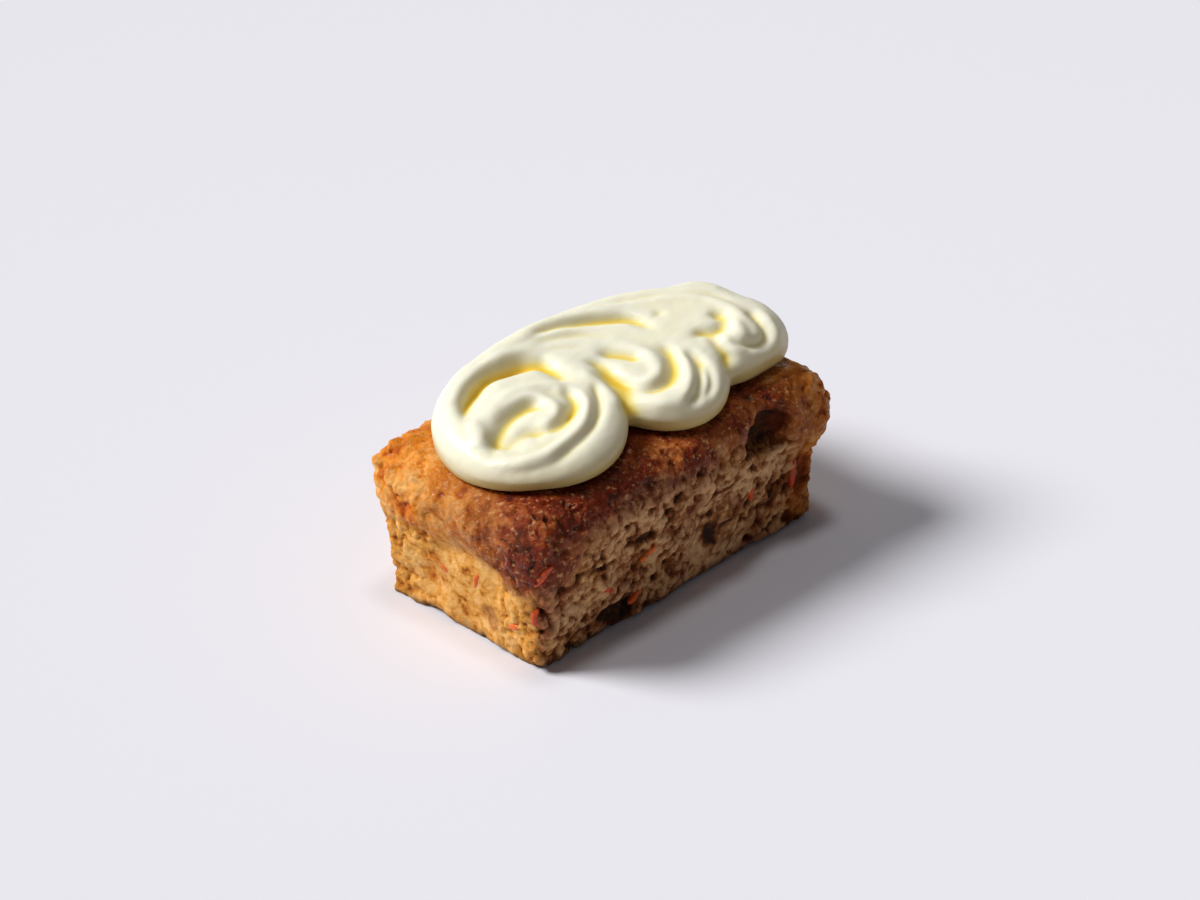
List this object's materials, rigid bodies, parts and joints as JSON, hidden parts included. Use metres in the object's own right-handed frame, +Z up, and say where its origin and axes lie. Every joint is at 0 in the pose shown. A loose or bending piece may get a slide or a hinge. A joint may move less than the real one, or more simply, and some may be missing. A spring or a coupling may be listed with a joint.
{
  "type": "carrot cake slice",
  "caption": "Small tin-baked loaf of carrot sponge with an overhanging browned crust, topped with three piped swirls of cream cheese icing.",
  "frame": {"origin": "middle of the box round the part, at the base the cake rests on", "axes": "+X along the loaf's long side, from the end with the last swirl to the end with the first; +Y towards the long side the icing hangs nearest to; +Z up"},
  "size_m": [0.0949, 0.0551, 0.0541],
  "materials": {
    "carrot_sponge": "open golden crumb with carrot shreds under a darker, slightly glossy browned crust",
    "cream_cheese_icing": "soft ivory cream, satin, yellower in the grooves"
  },
  "bodies": {
    "root": {"sponge": "carrot_sponge", "icing": "cream_cheese_icing"}
  },
  "joints": []
}
